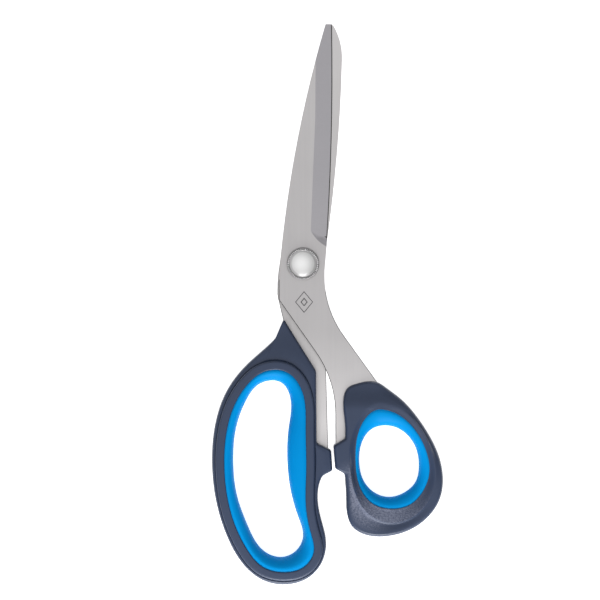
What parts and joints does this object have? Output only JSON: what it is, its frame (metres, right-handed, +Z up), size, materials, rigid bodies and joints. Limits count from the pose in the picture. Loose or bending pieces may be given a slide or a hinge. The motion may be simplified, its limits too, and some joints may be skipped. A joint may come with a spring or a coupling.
{
  "type": "office scissors",
  "caption": "Right-handed office scissors with offset soft-lined handles, ground steel blades and a knurled tension screw at the pivot.",
  "frame": {"origin": "on the pivot axis, at the resting plane (the underside of the pivot nut)", "axes": "+Z up out of the resting plane along the pivot axis, +Y towards the blade tips, +X towards the thumb handle"},
  "size_m": [0.0845, 0.205, 0.0104],
  "materials": {
    "blade_steel": "fine satin grind",
    "nut_steel": "turned satin",
    "pivot_chrome": "polished",
    "spring_steel": "plain spring temper",
    "washer_nylon": "matt",
    "hard_plastic_navy": "satin moulded",
    "soft_grip_blue": "satin soft-touch"
  },
  "bodies": {
    "finger_side": {"lower_blade": "blade_steel", "finger_handle": "hard_plastic_navy", "finger_grip": "soft_grip_blue", "pivot_nut": "nut_steel"},
    "thumb_side": {"upper_blade": "blade_steel", "thumb_handle": "hard_plastic_navy", "thumb_grip": "soft_grip_blue", "thrust_washer": "washer_nylon"},
    "tension_screw": {"pivot_screw": "pivot_chrome", "spring_washer": "spring_steel"}
  },
  "joints": [
    {"name": "blade_pivot", "type": "hinge", "parent": "finger_side", "child": "thumb_side", "pos_m": [0, 0, 0.0042], "axis": [0, 0, 1], "range_deg": [-0.6, 90]},
    {"name": "tension_turn", "type": "hinge", "parent": "finger_side", "child": "tension_screw", "pos_m": [0, 0, 0.0042], "axis": [0, 0, 1], "range_deg": [-180, 30]}
  ]
}
